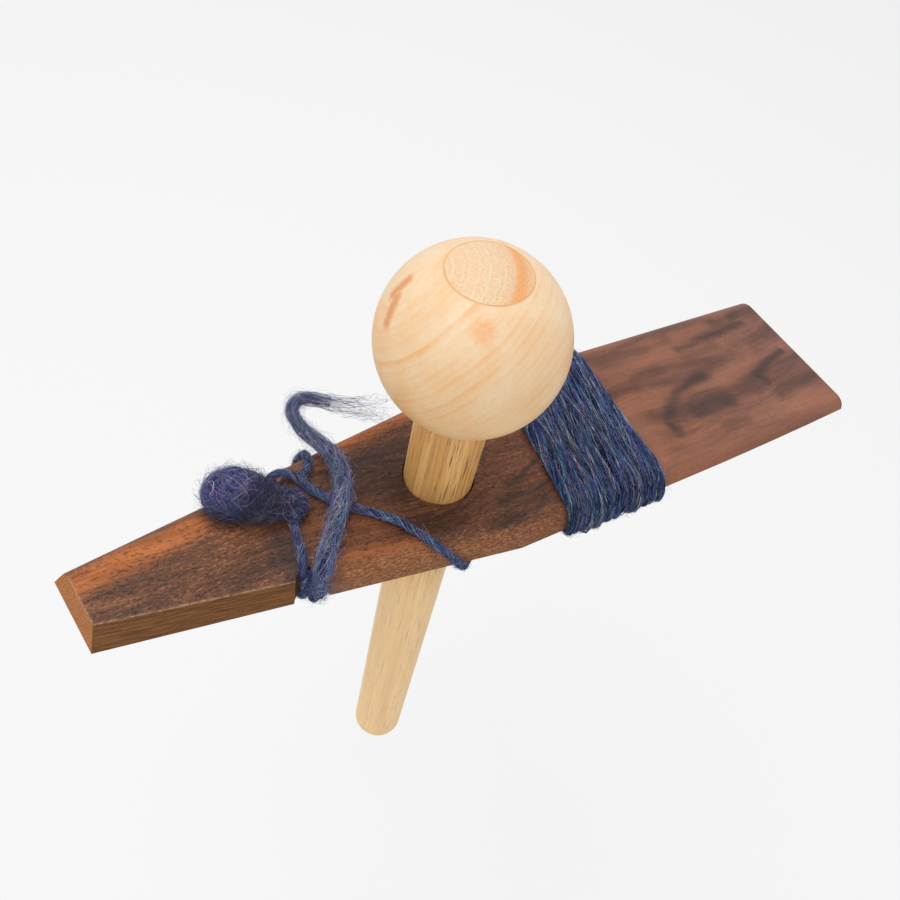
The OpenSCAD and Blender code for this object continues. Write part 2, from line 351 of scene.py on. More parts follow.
def rim_up(side, angle, tilt, d=YARN_D):
    """A place on a notch's upper rim, tilted from its wall to the top."""
    s = YARN_GAP + d / 2
    b = math.radians(tilt)
    return in_notch(side, angle, NOTCH_R - s * math.cos(b), s * math.sin(b))


def rim_down(side, angle, tilt, d=YARN_D, lift=0.0):
    """The same on the notch's lower rim."""
    x, y, z = rim_up(side, angle, tilt, d)
    return (x, y, lift - z - depth(x))


LEADER = [
    below(23.8, 0), below(22.8, -4), below(20.6, -7.6), below(17, -10), below(13, -11.5), below(8, -13),
    below(3, -15.4), front_low(-1.4, 270), front_low(-2.2, 225), front_low(-2.8, 180),
    front_edge(-4.8, 180), front_edge(-6.4, 155), front_edge(-8.4, 130), front_edge(-11.2, 95),
    on_top(-14.2, -8.4), on_top(-18.2, -4.6), on_top(-22.4, -1.2), on_top(-26, 2.5), on_top(-28.6, 6),
    (-29.8, 8.4, 1.4), (-30.8, 10.4, 1.8), (-32.4, 11.6, 2.3), (-34.4, 11.8, 2.7),
    (-36.2, 11.2, 3.0), (-37.6, 9.6, 3.2), (-38.6, 8.0, 3.0)]
HITCH = [
    (-34.4, 2.2, 2.6), (-35.4, 0.2, 2.2), (-35.6, -1.4, 1.6), on_top(-36, -4.4), on_top(-36.4, -7.6),
    rim_up(-1, 108, 90), rim_up(-1, 110, 45), rim_up(-1, 112, 0),
    rim_down(-1, 112, 0), rim_down(-1, 112, 45), rim_down(-1, 112, 90),
    below(-37.4, -5), below(-37, 0), below(-36.6, 5),
    rim_down(1, 84, 90), rim_down(1, 82, 45), rim_down(1, 80, 0),
    rim_up(1, 78, 0), rim_up(1, 76, 45), rim_up(1, 74, 90), on_top(-35.8, 9)]
STRAND = [
    on_top(-29.6, 8.6), on_top(-28.2, 10.8), on_top(-27.2, 12),
    back_edge(-26.4, 90), back_edge(-25.9, 60), back_edge(-25.6, BACK_LEAN),
    back_low(-25.8, BACK_LEAN), back_low(-26.2, -30), back_low(-26.8, -90), below(-27.6, 15),
    below(-28.8, 10), below(-30.3, 5), below(-31.6, 0), below(-32.6, -5), below(-33.2, -8.4),
    rim_down(-1, 46, 90)]
TAIL = [
    rim_down(-1, 36, 0, TAIL_D, 0.8), rim_down(-1, 36, 0, TAIL_D, 4.5),
    rim_up(-1, 34, 0, TAIL_D), rim_up(-1, 33, 45, TAIL_D), rim_up(-1, 32, 90, TAIL_D),
    on_top(-32.4, -10.8, TAIL_D), on_top(-29.8, -7.6, TAIL_D, 0.5),
    (-26.8, -3.6, 3.4), (-24.2, 0.2, 3.8), (-22, 4.4, 3.4), (-21, 8.8, 2.8), (-21.2, 13, 2.5),
    (-22.8, 16.8, 2.6), (-24.4, 19.8, 2.8), (-25.2, 23, 3), (-25.4, 26, 3.2),
    (-24.2, 28, 3.4), (-22.2, 28.8, 3.6), (-20.2, 28, 3.8), (-18.2, 26.4, 4)]
TAIL_TIP = [(-16.4, 25, 4.1)]
WISPS = [
    (-24.6, 20.5, 2.8), (-25.2, 23, 3), (-25.4, 26, 3.2), (-24.2, 28, 3.4), (-22.2, 28.8, 3.6),
    (-20.2, 28, 3.8), (-17.6, 26, 4), (-14.5, 23.4, 4.1), (-11.5, 21.2, 4.2), (-8, 19.6, 4.2),
    (-3.5, 19, 4)]
# Middle in x and y, and radius, along the bunch of loose fibre
PUFF = [
    (-48.4, 9.9, 2.2), (-47.6, 9.7, 3.9), (-46.2, 9.4, 5.0), (-44.6, 8.8, 5.1), (-43.0, 7.9, 4.8),
    (-41.6, 6.9, 4.4), (-40.2, 5.9, 4.0), (-39.0, 4.9, 3.4)]
# Middle and radius along the knot beside it
KNOT = [
    (-42.5, 7.4, 3.9, 3.5), (-40.4, 6.0, 3.6, 3.4), (-38.6, 4.5, 3.1, 2.8), (-36.4, 4.6, 3.4, 2.0),
    (-34.4, 5.8, 3.2, 1.3), (-32.6, 4.9, 2.6, 1.3), (-31.9, 3.0, 2.4, 1.3), (-32.8, 1.3, 2.4, 1.3),
    (-34.6, 0.6, 2.8, 1.3), (-36.5, 1.6, 3.2, 1.3), (-37.0, 3.4, 3.4, 1.3), (-35.6, 4.2, 4.0, 1.2),
    (-34.2, 3.4, 4.2, 1.1), (-33.9, 2.0, 3.4, 1.0)]
# Middle and radius along the fibre that fills the front notch between the hitch and the tail
NOTCH_FILL = [
    (-36.0, -12.6, 0.2, 0.7), (-35.8, -12.6, -2, 1.1), (-35.6, -12.7, -6, 1.2), (-35.4, -12.8, -10.4, 1.2)]


def smooth_line(points, step, ease=1.6):
    """An evenly spaced line through chosen points, with its corners eased; they may carry a radius too."""
    p = np.asarray(points, float)
    fine = 0.1
    dense = resample(p, fine)
    reach = round(ease / fine)
    window = np.hanning(2 * reach + 3)[1:-1]
    padded = np.pad(dense, ((reach, reach), (0, 0)), mode="reflect", reflect_type="odd")
    eased = [np.convolve(column, window / window.sum(), "valid") for column in padded.T]
    return resample(np.column_stack(eased), step)


def resample(line, step):
    """The same line with evenly spaced points."""
    along = lengths(line[:, :3])
    wanted = np.linspace(0, along[-1], max(round(along[-1] / step), 2) + 1)
    return np.column_stack([np.interp(wanted, along, column) for column in line.T])


def lengths(line):
    """The length so far at each of a line's points."""
    return np.concatenate([[0], np.cumsum(np.linalg.norm(np.diff(line, axis=0), axis=1))])


def unit(vectors):
    return vectors / np.linalg.norm(vectors, axis=-1, keepdims=True)


class Strand:
    """A line, its length so far at each point, and two side directions carried along it."""

    def __init__(self, line, first_side=(0, 0, 1)):
        self.line = line
        self.along = lengths(line)
        self.length = self.along[-1]
        side = np.array(first_side, float)
        sides = []
        heading = unit(np.gradient(line, axis=0))
        for direction in heading:
            side = unit(side - side @ direction * direction)
            sides.append(side)
        self.up = np.array(sides)
        self.across = np.cross(heading, self.up)

    def at(self, along, up, across):
        """The point at a length along the strand, off it by two side distances."""
        parts = []
        for k in range(3):
            middle = np.interp(along, self.along, self.line[:, k])
            above = np.interp(along, self.along, self.up[:, k]) * up
            beside = np.interp(along, self.along, self.across[:, k]) * across
            parts.append(middle + above + beside)
        return np.stack(parts, axis=-1)

    def value(self, along, values):
        """A value given once, or for each of the strand's points, at a length along it."""
        return np.interp(along, self.along, np.broadcast_to(values, len(self.along)))


# Wool: thin tubes gathered into one mesh

# Hardly any fibre runs this way, so it gives each one its sides
SKEW = unit(np.array([0.36, 0.61, 0.70]))
# Margin of a fibre's cell in the map, as a share of the cell
CELL_EDGE = 0.08
# Bunches of like tint round a strand, and the share of fibres that are bright
CLUMPS = 17
BRIGHT_SHARE = 0.22
# A swing's second wave, in length and height, as a share of the first
SECOND_WAVE = 0.41
# The core's near-black tint is painted shade of the fibre deep inside the yarn
CORE_SHADE_TINT = 0.03
CORE_SIDES = 8
CORE_SHARE = 0.66
RADIUS_SPREAD = (0.6, 1.3)
STRAY_POINTS = 8
WANDER_POINTS = 11
# Where a wandering fibre starts, from below a lump's skin to above it
START_DEPTH = (-1.3, 0.2)


def tube_points(lines, radius, sides):
    """Rings of points round each of many fibres."""
    heading = unit(np.gradient(lines, axis=1))
    side = unit(np.cross(heading, SKEW))
    up = np.cross(heading, side)
    turn = TAU * np.arange(sides)[:, None] / sides
    ring = np.cos(turn) * side[:, :, None] + np.sin(turn) * up[:, :, None]
    return (lines[:, :, None] + radius[:, :, None, None] * ring).reshape(-1, 3)


@lru_cache(maxsize=None)
def tube_faces(rings, sides):
    """Triangles of a closed tube, and the place of their corners in its own cell of the map."""
    i, k = np.meshgrid(np.arange(rings - 1), np.arange(sides), indexing="ij")
    i, k = i.ravel(), k.ravel()
    a, b = i * sides + k, i * sides + (k + 1) % sides
    u0 = CELL_EDGE + (1 - 2 * CELL_EDGE) * i / (rings - 1)
    u1 = CELL_EDGE + (1 - 2 * CELL_EDGE) * (i + 1) / (rings - 1)
    v0 = CELL_EDGE + (1 - 2 * CELL_EDGE) * k / sides
    v1 = CELL_EDGE + (1 - 2 * CELL_EDGE) * (k + 1) / sides
    lower = np.stack([a, b, a + sides], axis=1)
    upper = np.stack([b, b + sides, a + sides], axis=1)
    lower_map = np.stack([u0, v0, u0, v1, u1, v0], axis=1).reshape(-1, 3, 2)
    upper_map = np.stack([u0, v1, u1, v1, u1, v0], axis=1).reshape(-1, 3, 2)
    fan = np.arange(1, sides - 1)
    last = (rings - 1) * sides
    start = np.stack([0 * fan, fan + 1, fan], axis=1)
    end = np.stack([last + 0 * fan, last + fan, last + fan + 1], axis=1)
    corner = np.array([[0.2, 0.2], [0.8, 0.2], [0.5, 0.8]]) * CELL_EDGE
    start_map = np.repeat(corner[None], len(fan), axis=0)
    end_map = start_map + (1 - CELL_EDGE)
    return np.vstack([lower, upper, start, end]), np.vstack([lower_map, upper_map, start_map, end_map])


def triangle_mesh(name, points, faces):
    mesh = bpy.data.meshes.new(name)
    mesh.vertices.add(len(points))
    mesh.vertices.foreach_set("co", points.ravel().astype(np.float32))
    mesh.loops.add(faces.size)
    mesh.loops.foreach_set("vertex_index", faces.ravel().astype(np.int32))
    mesh.polygons.add(len(faces))
    mesh.polygons.foreach_set("loop_start", np.arange(0, faces.size, 3, dtype=np.int32))
    mesh.polygons.foreach_set("use_smooth", np.ones(len(faces), bool))
    mesh.update(calc_edges=True)
    return mesh


class Wool:
    """Gathers fibres, each a thin closed tube with a tint, and builds one mesh of them."""

    def __init__(self):
        self.batches = []

    def add(self, lines, radius, tints, sides=3):
        """Adds fibres that have the same number of points."""
        lines = np.asarray(lines)
        self.batches.append((lines, np.broadcast_to(radius, lines.shape[:2]), tints, sides))

    def build(self, name, material, carrier="paddle"):
        """Makes one piece of all the fibres, with a cell of the map for each, and lets it ride on a body."""
        points, faces, corners, shades = [], [], [], []
        cells = math.ceil(math.sqrt(sum(len(lines) for lines, *_ in self.batches)))
        first_point = first_fibre = 0
        for lines, radius, tints, sides in self.batches:
            count, rings = lines.shape[:2]
            points.append(tube_points(lines, radius, sides))
            triangles, cell = tube_faces(rings, sides)
            firsts = first_point + rings * sides * np.arange(count)
            faces.append((triangles + firsts[:, None, None]).reshape(-1, 3))
            number = first_fibre + np.arange(count)
            spot = np.stack([number % cells, number // cells], axis=1)
            corners.append(((cell + spot[:, None, None]) / cells).reshape(-1, 2))
            shades.append(np.repeat(tints, rings * sides))
            first_point += count * rings * sides
            first_fibre += count
        mesh = triangle_mesh(name, np.vstack(points) * MM + (0, 0, PADDLE_TOP), np.vstack(faces))
        bake_map = mesh.uv_layers.new(name="OFBake")
        bake_map.data.foreach_set("uv", np.vstack(corners).ravel().astype(np.float32))
        shade = mesh.attributes.new("tint", "FLOAT", "POINT")
        shade.data.foreach_set("value", np.concatenate(shades).astype(np.float32))
        mesh.materials.append(material)
        piece = bpy.data.objects.new(name, mesh)
        bpy.context.scene.collection.objects.link(piece)
        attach(piece, carrier)
        return piece


def swing(along, reach):
    """A slow random swing from about -1 to 1 along each of many fibres."""
    phase = rng.random((2, len(along), 1))
    first = np.sin(TAU * (along / reach + phase[0]))
    second = np.sin(TAU * (along / (SECOND_WAVE * reach) + phase[1]))
    return (first + SECOND_WAVE * second) / (1 + SECOND_WAVE)


def pick_tints(count, clump=None):
    """Most fibres are navy to violet, and some teal, olive, magenta or pale; a clump's fibres are alike."""
    clump = np.arange(count) if clump is None else clump
    clumps = clump.max() + 1
    dusky = rng.beta(1.3, 1.7, clumps) * 0.8
    bright = rng.uniform(0.74, 1.0, clumps)
    chosen = np.where(rng.random(clumps) < BRIGHT_SHARE, bright, dusky)
    return chosen[clump] + rng.normal(0, 0.05, count)


def taper(points, thin=0.35):
    """The share of a fibre's radius at each of its points, thin at both ends."""
    t = np.linspace(0, 1, points)
    return thin + (1 - thin) * np.minimum(1, 6 * np.minimum(t, 1 - t))


def core(wool, strand, radius):
    """A dark middle that closes the gaps between fibres; its near-black tint is painted shade of the fibre
    inside.
    """
    radii = np.broadcast_to(radius, len(strand.line))
    wool.add(strand.line[None], radii[None], np.array([CORE_SHADE_TINT]), CORE_SIDES)


def spun(wool, strand, radius, lanes, fibre_r, twist, staple, step, loose, flat=(1.0, 1.0), fade=0.0):
    """Staple fibres that lie side by side in a slow twist round a strand; the last thin out over the fade."""
    count = math.ceil(1.25 * lanes * max(strand.length / staple, 1))
    start = rng.uniform(-0.5 * staple, strand.length - 0.25 * staple, (count, 1))
    stop = strand.length - fade * rng.random((count, 1))
    end = np.minimum(start + staple * rng.uniform(0.75, 1.25, (count, 1)), stop)
    start = np.maximum(start, 0)
    end = np.maximum(end, start + 0.1 * staple)
    points = max(round(staple / step), 6)
    along = start + (end - start) * np.linspace(0, 1, points)
    lane = rng.permutation(count)[:, None] / lanes
    angle = TAU * (lane + along / twist) + 0.4 * swing(along, 21.0)
    reach = strand.value(along, radius) * (0.88 + loose * swing(along, 13.0))
    lines = strand.at(along, flat[1] * reach * np.cos(angle), flat[0] * reach * np.sin(angle))
    clump = np.floor(lane % 1 * CLUMPS) + CLUMPS * np.floor(start / (0.3 * staple))
    tints = pick_tints(count, clump[:, 0].astype(int))
    wool.add(lines, fibre_r * rng.uniform(*RADIUS_SPREAD, (count, 1)) * taper(points), tints)


def strays(wool, strand, radius, count, run, lift, fibre_r):
    """Fine fibres that stand away from a strand and curl."""
    t = np.tile(np.linspace(0, 1, STRAY_POINTS), (count, 1))
    reach = rng.uniform(*run, (count, 1))
    start = rng.uniform(0.01, 0.99, (count, 1)) * strand.length
    away = reach * lift * rng.uniform(0.1, 1.0, (count, 1)) * t ** 1.4
    along = np.clip(start + 0.8 * reach * t * rng.choice([-1, 1], (count, 1)), 0, strand.length)
    around = rng.uniform(0, TAU, (count, 1)) + rng.normal(0, 0.9, (count, 1)) * t + 0.5 * swing(t, 0.8)
    out = 0.95 * strand.value(along, radius) + away
    lines = strand.at(along, out * np.cos(around), out * np.sin(around))
    radii = fibre_r * rng.uniform(0.7, 1.4, (count, 1)) * taper(STRAY_POINTS, 0.5)
    wool.add(lines, radii, pick_tints(count) + 0.1)


def wander(wool, rings, count, fibre_r, run, away, tint=1.0):
    """Curly fibres that wander over the skin of a lump, made of balls in a row, and rise off it."""
    middles, radii = rings[:, :3], rings[:, 3]
    first = rng.choice(len(radii), count, p=radii / radii.sum())
    out = unit(rng.normal(size=(count, 3)))
    spot = middles[first] + out * radii[first, None]
    heading = unit(np.gradient(middles, axis=0))[first] + 0.7 * rng.normal(size=(count, 3))
    stride = rng.uniform(*run, (count, 1)) / WANDER_POINTS
    bend = 0.5 * rng.normal(size=(count, 3))
    low = rng.uniform(*START_DEPTH, count) * np.minimum(1, radii.max() / 3)
    # Painted shade and light: fibres that start deep in the lump get darker tints, those on its skin slightly
    # lighter ones
    shade = 0.06 + 0.25 * low
    high = rng.uniform(*away, count)
    lines = []
    for share in np.linspace(0, 1, WANDER_POINTS):
        off = spot[:, None] - middles
        far = np.linalg.norm(off, axis=2)
        nearest = (far - radii).argmin(axis=1)
        pick = (np.arange(count), nearest)
        out = off[pick] / far[pick][:, None]
        height = low + high * share ** 2
        spot = middles[nearest] + out * (radii[nearest] + height)[:, None]
        lines.append(spot)
        heading = heading + bend + 0.2 * rng.normal(size=(count, 3))
        heading = unit(heading - (heading * out).sum(axis=1, keepdims=True) * out)
        spot = spot + stride * heading
    fibre_radii = fibre_r * rng.uniform(*RADIUS_SPREAD, (count, 1)) * taper(WANDER_POINTS)
    wool.add(np.stack(lines, axis=1), fibre_radii, np.maximum(tint * pick_tints(count) + shade, 0))


# The wound yarn: turns round the blade, and a few that cross over them

COP_BACK = (27.2, 49.9)
COP_FRONT = (24.5, 49.5)
COP_TURNS = 13
COP_JITTER = (-0.3, 0.3)
COP_LIFT = 0.25
CROSSINGS = [(47.5, 49.6, 0.5), (37.2, 42.4, 0.7), (31.0, 28.6, 0.5), (26.6, 31.4, 0.6)]


def cop_line(crossings, step):
    """One line round the blade; each turn crosses the top from x at the back to x at the front."""
    points = []
    for back, front, lift in crossings:
        d = YARN_D + 2 * lift
        points += [back_low(back, a, d) for a in np.linspace(-90, BACK_LEAN, 5)]
        points += [back_edge(back, a, d) for a in np.linspace(BACK_LEAN, 90, 4)]
        points += [front_edge(front, a, d) for a in np.linspace(90, 180, 6)]
        points += [front_low(front, a, d) for a in np.linspace(180, 270, 4)]
    return smooth_line(points, step, 1.2)


def make_cop(yarn):
    """The wound yarn, and its fuzz."""
    back = np.linspace(*COP_BACK, COP_TURNS) + rng.uniform(*COP_JITTER, COP_TURNS)
    front = np.linspace(*COP_FRONT, COP_TURNS) + rng.uniform(*COP_JITTER, COP_TURNS)
    turns = list(zip(back, front, COP_LIFT * rng.random(COP_TURNS)))
    wool = Wool()
    fuzz = Wool()
    strand = Strand(cop_line(turns + CROSSINGS, 0.8), (0, 0, -1))
    core(wool, strand, 0.656)
    spun(wool, strand, radius=0.95, lanes=26, fibre_r=0.085, twist=24.0, staple=46.0, step=1.4, loose=0.2,
         flat=(1.36, 0.86))
    spun(wool, strand, radius=1.04, lanes=16, fibre_r=0.04, twist=34.0, staple=26.0, step=1.4, loose=0.24,
         flat=(1.36, 0.88))
    strays(fuzz, strand, radius=0.92, count=4500, run=(1.5, 5.0), lift=0.1, fibre_r=0.028)
    strays(fuzz, strand, radius=0.92, count=5200, run=(2.0, 6.0), lift=0.5, fibre_r=0.019)
    piece = wool.build("cop_yarn", yarn)
    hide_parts("cop_winding")
    fuzz.build("cop_fuzz", yarn)


def make_yarn_pieces(yarn):
    """The three plain stretches of yarn, each with its fuzz."""
    for name, node, points in (("leader", "leader_yarn", LEADER), ("hitch", "neck_hitch", HITCH),
                               ("back_strand_wool", "back_strand", STRAND)):
        wool = Wool()
        strand = Strand(smooth_line(points, 0.5))
        core(wool, strand, 0.72)
        spun(wool, strand, radius=0.86, lanes=30, fibre_r=0.075, twist=8.0, staple=30.0, step=0.7,
             loose=0.14)
        spun(wool, strand, radius=0.95, lanes=14, fibre_r=0.035, twist=10.0, staple=16.0, step=0.7,
             loose=0.22)
        strays(wool, strand, radius=0.86, count=900, run=(1.0, 3.5), lift=0.16, fibre_r=0.025)
        strays(wool, strand, radius=0.86, count=700, run=(1.5, 5.0), lift=0.4, fibre_r=0.015)
        if node == "neck_hitch":
            fill_notch(wool)
        piece = wool.build(name, yarn)
        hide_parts(node)


def fill_notch(wool):
    """Fibre packed into the front notch, where the hitch and the tail meet."""
    rings = smooth_line(NOTCH_FILL, 0.4, 0.8)
    core(wool, Strand(rings[:, :3], (1, 0, 0)), rings[:, 3] * 0.8)
    # The dimmer tint here is painted shade of the fibre deep in the notch
    wander(wool, rings, count=420, fibre_r=0.05, run=(2.0, 6.0), away=(0.0, 0.3), tint=0.6)
    wander(wool, rings, count=160, fibre_r=0.018, run=(2.0, 5.0), away=(0.3, 1.4))


def tufted(rings, count):
    """A lump's row of balls, with smaller ones sunk into its skin at random."""
    picked = rings[rng.choice(len(rings), count, p=rings[:, 3] / rings[:, 3].sum())]
    size = picked[:, 3] * rng.uniform(0.24, 0.4, count)
    reach = picked[:, 3] - 0.6 * size
    tufts = picked[:, :3] + unit(rng.normal(size=(count, 3))) * reach[:, None]
    return np.vstack([rings, np.column_stack([tufts, size])])


def make_puff(fibre):
    """The bunch of loose fibre, and the knot at its end."""
    wool = Wool()
    rings = smooth_line([(x, y, YARN_GAP + 0.95 * r, r) for x, y, r in PUFF], 0.4, 1.0)
    core(wool, Strand(rings[:, :3]), rings[:, 3] * CORE_SHARE)
    lump = tufted(rings, count=34)
    wander(wool, lump, count=4600, fibre_r=0.042, run=(4.0, 11.0), away=(0.0, 0.6), tint=0.72)
    wander(wool, lump, count=700, fibre_r=0.044, run=(5.0, 12.0), away=(0.5, 1.0), tint=1.65)
    wander(wool, lump, count=3000, fibre_r=0.019, run=(4.0, 9.0), away=(0.6, 2.8))
    coil = smooth_line(KNOT, 0.4, 0.9)
    knot = Strand(coil[:, :3])
    core(wool, knot, coil[:, 3] * CORE_SHARE)
    spun(wool, knot, radius=coil[:, 3], lanes=26, fibre_r=0.06, twist=14.0, staple=14.0, step=0.6,
         loose=0.3)
    wander(wool, coil, count=1700, fibre_r=0.042, run=(2.5, 7.0), away=(0.0, 0.5), tint=0.72)
    wander(wool, coil, count=260, fibre_r=0.044, run=(4.0, 9.0), away=(0.4, 1.0), tint=1.6)
    wander(wool, coil, count=700, fibre_r=0.018, run=(2.5, 6.0), away=(0.4, 1.8))
    piece = wool.build("puff", fibre)
    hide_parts("fibre_puff")


def make_tail(fibre):
    """The unspun tail, and the wisps on it and past its end."""
    wool = Wool()
    strand = Strand(smooth_line(TAIL + TAIL_TIP, 0.6), (1, 0, 0))
    share = strand.along / strand.length
    radius = np.interp(share, [0, 0.3, 0.62, 0.82, 1], [1.75, 1.8, 1.7, 1.3, 0.8])
    core(wool, strand, radius * np.interp(share, [0, 0.4, 0.58, 1], [0.82, 0.72, 0.1, 0.02]))
    spun(wool, strand, radius, lanes=44, fibre_r=0.07, twist=60.0, staple=24.0, step=1.0,
         loose=0.3, fade=30.0)
    spun(wool, strand, radius * 1.05, lanes=64, fibre_r=0.035, twist=75.0, staple=20.0, step=1.0,
         loose=0.34, fade=4.0)
    piece = wool.build("tail", fibre)
    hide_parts("roving_tail")
    loose = Wool()
    strays(loose, strand, radius, count=900, run=(1.5, 4.5), lift=0.14, fibre_r=0.026)
    strays(loose, strand, radius, count=1300, run=(3.0, 8.0), lift=0.34, fibre_r=0.017)
    wisp = Strand(smooth_line(WISPS, 0.7))
    spread = np.interp(wisp.along / wisp.length, [0, 0.3, 0.5, 1], [1.2, 1.3, 1.5, 3.0])
    spun(loose, wisp, spread, lanes=64, fibre_r=0.034, twist=120.0, staple=13.0, step=1.0,
         loose=0.5, fade=24.0)
    spun(loose, wisp, spread, lanes=26, fibre_r=0.016, twist=120.0, staple=13.0, step=1.0, loose=0.5)
    strays(loose, wisp, spread, count=120, run=(3.0, 8.0), lift=0.3, fibre_r=0.014)
    wisps = loose.build("tail_wisps", fibre)


# Materials

YARN_TINTS = [
    (0.00, (0.006, 0.008, 0.016)), (0.14, (0.018, 0.028, 0.080)), (0.32, (0.045, 0.078, 0.270)),
    (0.48, (0.085, 0.150, 0.340)), (0.60, (0.170, 0.100, 0.360)), (0.72, (0.200, 0.270, 0.420)),
    (0.82, (0.050, 0.260, 0.380)), (0.90, (0.380, 0.380, 0.210)), (0.95, (0.320, 0.070, 0.220)),
    (1.00, (0.500, 0.540, 0.600))]
# Factors on the red, green and blue of those tints, for the yarn, the tail and the puff
YARN_SHIFT = (1.06, 1.12, 1.12)
TAIL_SHIFT = (1.7, 1.6, 1.45)
PUFF_SHIFT = (1.9, 1.5, 1.52)
# The puff's lit top; away from it the fibre is darkened by painted shade, and less so in the knot
PUFF_LIT_SPOT = (-47.0, 11.0, PADDLE_TOP / MM + 9.0)
PUFF_SHADE_TINT = (0.38, 0.38, 0.36)


def shifted(tints, red, green, blue):
    """The tints, with a factor on each colour."""
    return [(position, (red * r, green * g, blue * b)) for position, (r, g, b) in tints]


def wool_material(name, tints, lit_spot=None):
    """Wool whose tint changes from fibre to fibre and slowly along the yarn; away from a lit spot, if one is
    given, it is darkened by painted shade.
    """
    s = Shader(name)
    place = s.place()
    fibre = s.node("Attribute", {}, attribute_name="tint").outputs["Fac"]
    drift = s.math("MULTIPLY", s.math("SUBTRACT", s.noise(place, (0.4, 0.4, 0.4), 2.0), 0.5), 0.4)
    colour = s.ramp(s.math("ADD", fibre, drift), tints)
    scales = s.noise(place, (3.5, 3.5, 3.5), 2.0)
    colour = s.mix(s.span(scales, 0.35, 0.7), s.times(colour, (0.7, 0.7, 0.73)), colour)
    if lit_spot:
        # Painted shade: the wool darkens away from the lit spot, less so out in the knot
        away = s.vector("DISTANCE", place, lit_spot)
        puff_painted_shade = s.math("MULTIPLY", s.span(away, 4.0, 9.5), s.span(away, 12.0, 15.0, 1.0, 0.8))
        colour = s.times(colour, PUFF_SHADE_TINT, puff_painted_shade)
    return s.surface(
        Base_Color=colour,
        Roughness=s.span(scales, 0.3, 0.7, 0.7, 0.9),
        Specular_IOR_Level=0.12,
        Sheen_Weight=0.14,
        Sheen_Roughness=0.5,
        Sheen_Tint=(0.62, 0.66, 0.85, 1),
        Normal=s.bump(scales, 0.02))


# Walnut tones, along the paddle from its narrow end to its wide end
WALNUT_TONES = [
    (0.0, (0.164, 0.071, 0.037)), (0.22, (0.150, 0.063, 0.034)), (0.36, (0.084, 0.037, 0.022)),
    (0.52, (0.136, 0.058, 0.034)), (0.66, (0.190, 0.080, 0.047)), (0.80, (0.190, 0.083, 0.058)),
    (1.0, (0.182, 0.086, 0.067))]
# Walnut figure on the paddle's top, and one painted shadow beside the hitch: points in x and y, half the
# width of the mark, and its strength
DARK_MARKS = [
    ([(80, 2.1), (71, 0.3), (67.3, -1.6), (64.2, -4.6), (62.1, -7.4), (62.3, -10.2)], 1.3, 0.85),
    ([(72.5, -7), (81, -7.2)], 2.3, 0.8),
    ([(75.2, -13.4), (82.9, -14.2)], 1.1, 0.45),
    ([(79.4, 12.4), (92.2, 13.7), (103, 14.8)], 1.1, 0.75),
    ([(102.2, 17.3), (110.2, 17.4)], 1.3, 0.6),
    ([(107.3, 1.9), (102.2, 0.2), (95.5, -2.6), (96.7, -6.4)], 0.9, 0.75),
    ([(97.5, -9.8), (102.1, -8.2), (111.9, -8.7)], 2.1, 0.65),
    ([(80.5, 9.4), (89, 10.4)], 2.2, 0.4),
    ([(102, 6.7), (111.6, 7.2)], 1.5, 0.4),
    ([(55.6, 15.7), (69.6, 15.8)], 1.6, 0.45),
    ([(61.3, 8.2), (69.5, 8.5)], 1.4, 0.4),
    ([(23, -5.4), (18.5, -7.1), (14.5, -8.2)], 0.6, 0.75),
    ([(22.9, -11.5), (18.3, -12.3), (9.6, -12.1)], 0.6, 0.8),
    ([(20.1, -14.8), (15.8, -17.5), (6.7, -17.3)], 0.6, 0.65),
    ([(-18, 9), (-4, 12)], 1.6, 0.4),
    # Painted shadow of the hitch and puff on the wood by the notch
    ([(-39.2, -2), (-39.8, -12.5)], 2.0, 0.75)]
ORANGE_MARKS = [
    ([(-82, 2.4), (-71, 4.4), (-61.5, 5.8), (-55, 7.4)], 2.3, 0.95),
    ([(-22, 15.6), (-9, 17.4), (4, 19.6)], 1.3, 0.8),
    ([(-33, -11.5), (-24.9, -11.8), (-19.5, -12.9), (-11.4, -14.9)], 1.5, 0.5),
    ([(49.7, -20.3), (61.5, -19.7), (106.7, -18.9)], 2.2, 0.45),
    ([(52.4, -1.2), (54, -8), (53.7, -16.2)], 2.6, 0.5),
    ([(86, 0.4), (98, 3.2)], 2.1, 0.6),
    ([(82, 16.8), (92, 17.6)], 1.5, 0.55),
    ([(99, -15.6), (110, -16.4)], 3.2, 0.9),
    ([(-30, -5), (-20, -6)], 4.5, 0.3),
    ([(55, 12), (70, 12.5)], 3.0, 0.3)]


# Edge of the narrow end, painted lighter for wear and a painted highlight: along the front, round the corner
# and across the end
NARROW_ARRIS = [(x, y, PADDLE_TOP / MM) for x, y in [(-40.0, -13.0), (-78.7, -6.8), (-80.5, 6.4)]]


def marks(s, place, chosen):
    """Where the chosen marks lie, from 0 to 1."""
    total = 0.0
    for points, wide, strength in chosen:
        far = s.from_line(place, [(x, y, 0.0) for x, y in points])
        total = s.math("MAXIMUM", total, s.span(far, 0.0, 2.3 * wide, strength, 0.0))
    return total


